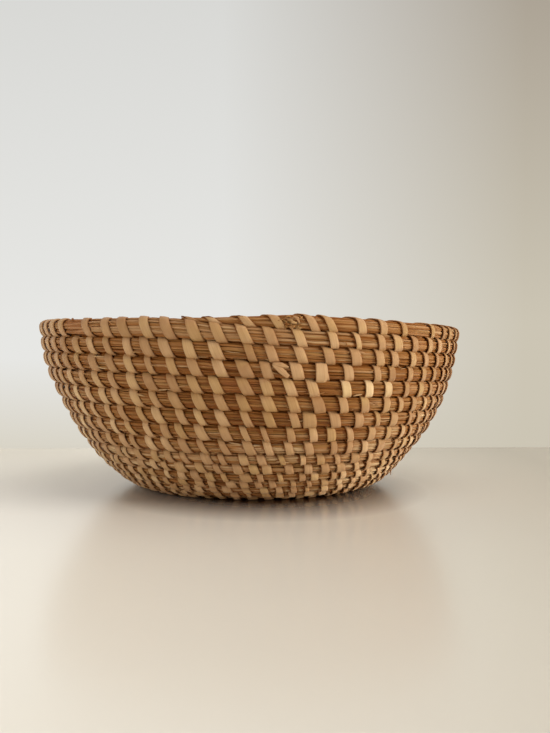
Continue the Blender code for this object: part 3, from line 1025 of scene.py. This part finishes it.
def strip_material():
    """Flat leaf strips: smooth pale tan, with fine grain along the strip, and painted shade on their
    edges.
    """
    n = Nodes("binder_strip")
    along, across, tone = n.attribute("along"), n.attribute("across"), n.attribute("tone")
    grain = n.noise(n.times(along, 55.0), n.times(across, 5.0), tone, 3.0, 0.6)
    cloud = n.noise(n.times(along, 160.0), n.times(across, 0.8), 4.0, 2.0)
    hue = n.noise(n.times(along, 60.0), n.times(tone, 9.0), 2.0, 1.0)
    color = n.ramp(n.math("ADD", n.times(tone, TONE_PART), n.times(cloud, 1 - TONE_PART)), STRIP_RAMP)
    color = n.towards(n.over(hue, 0.46, 1.7), color, STRIP_YELLOW)
    color = n.towards(n.under(hue, 0.43, 1.7), color, STRIP_PINK)
    color = n.towards(n.under(grain, 0.62, 1.1), color, STRIP_LINES)
    # Painted shade along both edges of each strip and on its thin sides
    edge = n.math("POWER", n.math("ABSOLUTE", across), 14.0)
    color = n.towards(n.times(edge, 0.6), color, STRIP_EDGE_SHADE)
    # Painted shade on the strips' lower part, towards the groove under their row
    color = n.towards(n.times(n.attribute("groove_shade"), 0.5), color, STRIP_GROOVE_SHADE)
    roughness = n.math("ADD", 0.36, n.times(grain, 0.22))
    return n.finish(color, 0.35, roughness, n.bump(grain, 0.1 * MM, 0.5))


# Camera, stage and light

FRAME_WIDTH, FRAME_HEIGHT = 550, 733
FOCAL_PIXELS = 923.6
SENSOR = 36
CAMERA_DISTANCE = 495 * MM
CAMERA_HEIGHT = 69.7 * MM
AXIS_PIXEL_X = 251.0
HORIZON_PIXEL_Y = 352.0
NEAREST_SEEN = 0.01

STAGE_HALF = 3.0
STAGE_FRONT = 2.0
WALL_HEIGHT = 2.5
SHELF_BACK = 175 * MM
SHELF_LEFT = (236, 227, 214)
SHELF_RIGHT = (172, 162, 148)
SHELF_LIT = (248, 246, 234)
SHELF_ROUGHNESS = 0.22
SHELF_DIM_FROM = -0.11
SHELF_DIM_WIDTH = 0.29
SHADE = (46, 30, 20)
SHADE_MIDDLE = (0.009, -0.022)
SHADE_NARROWER = 1.2  # from side to side than from front to back
SHADE_RADIUS = 0.047
SHADE_WIDTH = 0.050

WALL_LIT = (226, 226, 223)
WALL_ROUGHNESS = 0.9
# The wall's glow, with painted shade: darker to the right and higher up, and warmer and darker low on the
# left
WALL_LEFT = (231, 231, 228)
WALL_LEFT_LOW = (215, 209, 194)
WALL_LEFT_HIGH = (216, 216, 213)
WALL_RIGHT = (204, 197, 180)
WALL_RIGHT_HIGH = (172, 163, 149)
WALL_DIM_FROM = -0.02
WALL_DIM_WIDTH = 0.22
WALL_DIM_HEIGHT = 0.09
WALL_DIM_RISE = 0.24
WALL_LOW_HEIGHT = 0.065
WALL_LOW_SHARE = 0.9

# Name, place, watts, colour
LIGHTS = (
    ("key", (1.3, -0.42, 0.42), 18.6, (0.98, 1.0, 0.97)),
    ("fill", (-0.95, -0.7, 0.4), 5.7, (0.98, 1.0, 0.975)),
    ("top", (0.25, -0.3, 1.2), 5.5, (1.0, 1.0, 1.0)),
)
LIGHT_SIZE = 0.8
LIGHT_TARGET = (0, 0, 0.04)
WORLD_COLOR = (1.0, 0.98, 0.955, 1)
WORLD_STRENGTH = 0.27


def add_camera():
    """A camera in front of the bowl, turned by where its axis and the horizon lie in the picture."""
    data = bpy.data.cameras.new("camera")
    data.sensor_fit = "VERTICAL"
    data.sensor_height = SENSOR
    data.sensor_width = SENSOR
    data.lens = FOCAL_PIXELS * SENSOR / FRAME_HEIGHT
    data.clip_start = NEAREST_SEEN
    camera = bpy.data.objects.new("camera", data)
    bpy.context.scene.collection.objects.link(camera)
    camera.location = (0, -CAMERA_DISTANCE, CAMERA_HEIGHT)
    yaw = math.atan((FRAME_WIDTH / 2 - AXIS_PIXEL_X) / FOCAL_PIXELS)
    pitch = math.atan((FRAME_HEIGHT / 2 - HORIZON_PIXEL_Y) / FOCAL_PIXELS)
    camera.rotation_euler = (math.pi / 2 - pitch, 0, -yaw)
    bpy.context.scene.camera = camera


def shelf_material():
    """A pale glossy shelf, dimmer towards the right and in the shade close round the foot.

    It looks darker than the light it throws back up, as in the photo."""
    n = Nodes("shelf")
    x, y, _ = n.position()
    beside = n.times(n.math("SUBTRACT", x, SHADE_MIDDLE[0]), SHADE_NARROWER)
    before = n.math("SUBTRACT", y, SHADE_MIDDLE[1])
    away = n.math("SQRT", n.math("ADD", n.times(beside, beside), n.times(before, before)))
    color = n.mix(n.rise(x, SHELF_DIM_FROM, SHELF_DIM_WIDTH), linear(*SHELF_LEFT), linear(*SHELF_RIGHT))
    shown = n.mix(n.rise(away, SHADE_RADIUS, SHADE_WIDTH), linear(*SHADE), color)
    seen = n.add("ShaderNodeLightPath").outputs["Is Camera Ray"]
    n.put(n.mix(seen, linear(*SHELF_LIT), shown), n.shader.inputs["Base Color"])
    n.shader.inputs["Roughness"].default_value = SHELF_ROUGHNESS
    return n.material


def wall_material():
    """A pale wall that shows plainly from the front as a glow, whatever falls on it, with painted shade:
    dimmer to the right and higher up, and warmer and darker low on the left. It isn't seen from behind.
    """
    n = Nodes("wall")
    n.shader.inputs["Base Color"].default_value = linear(*WALL_LIT)
    n.shader.inputs["Roughness"].default_value = WALL_ROUGHNESS
    x, _, z = n.position()
    high = n.rise(z, WALL_DIM_HEIGHT, WALL_DIM_RISE)
    low = n.math("SUBTRACT", 1.0, n.times(z, 1 / WALL_LOW_HEIGHT), clamp=True)
    on_left = n.mix(n.times(low, WALL_LOW_SHARE), linear(*WALL_LEFT), linear(*WALL_LEFT_LOW))
    on_left = n.towards(high, on_left, WALL_LEFT_HIGH)
    on_right = n.mix(high, linear(*WALL_RIGHT), linear(*WALL_RIGHT_HIGH))
    glow = n.add("ShaderNodeEmission")
    n.put(n.mix(n.rise(x, WALL_DIM_FROM, WALL_DIM_WIDTH), on_left, on_right), glow.inputs["Color"])
    path = n.add("ShaderNodeLightPath")
    seen = n.math("MAXIMUM", path.outputs["Is Camera Ray"], path.outputs["Is Glossy Ray"])
    front = n.mix_shader(seen, n.shader.outputs[0], glow.outputs[0])
    behind = n.add("ShaderNodeNewGeometry").outputs["Backfacing"]
    shown = n.mix_shader(behind, front, n.add("ShaderNodeBsdfTransparent").outputs[0])
    n.put(shown, n.tree.nodes["Material Output"].inputs["Surface"])
    return n.material


def add_plane(name, corners, material):
    """A flat piece of the stage."""
    mesh = bpy.data.meshes.new(name)
    mesh.from_pydata(corners, [], [(0, 1, 2, 3)])
    made = bpy.data.objects.new(name, mesh)
    bpy.context.scene.collection.objects.link(made)
    mesh.materials.append(material)


def add_stage():
    """A pale glossy shelf and a pale wall behind it."""
    add_plane("floor", [
        (-STAGE_HALF, -STAGE_FRONT, 0), (STAGE_HALF, -STAGE_FRONT, 0),
        (STAGE_HALF, STAGE_FRONT, 0), (-STAGE_HALF, STAGE_FRONT, 0),
    ], shelf_material())
    add_plane("backdrop", [
        (-STAGE_HALF, SHELF_BACK, 0), (STAGE_HALF, SHELF_BACK, 0),
        (STAGE_HALF, SHELF_BACK, WALL_HEIGHT), (-STAGE_HALF, SHELF_BACK, WALL_HEIGHT),
    ], wall_material())


def add_light(name, where, watts, color):
    """A square lamp that faces the bowl and doesn't show in reflections."""
    data = bpy.data.lights.new(name, "AREA")
    data.size = LIGHT_SIZE
    data.energy = watts
    data.color = color
    made = bpy.data.objects.new(name, data)
    made.visible_glossy = False
    bpy.context.scene.collection.objects.link(made)
    made.location = where
    made.rotation_euler = (Vector(LIGHT_TARGET) - Vector(where)).to_track_quat("-Z", "Y").to_euler()


def add_lights():
    """The lamps and the light of the room."""
    for light in LIGHTS:
        add_light(*light)
    world = bpy.data.worlds.new("world")
    bpy.context.scene.world = world
    world.use_nodes = True
    background = world.node_tree.nodes["Background"]
    background.inputs["Color"].default_value = WORLD_COLOR
    background.inputs["Strength"].default_value = WORLD_STRENGTH


def main():
    bpy.context.scene.view_settings.view_transform = "Standard"
    add_camera()
    add_stage()
    add_lights()
    grass, binder = grass_material(), strip_material()
    build_bundle(grass)
    build_strips(binder)
    build_loose_ends(grass, binder)


main()
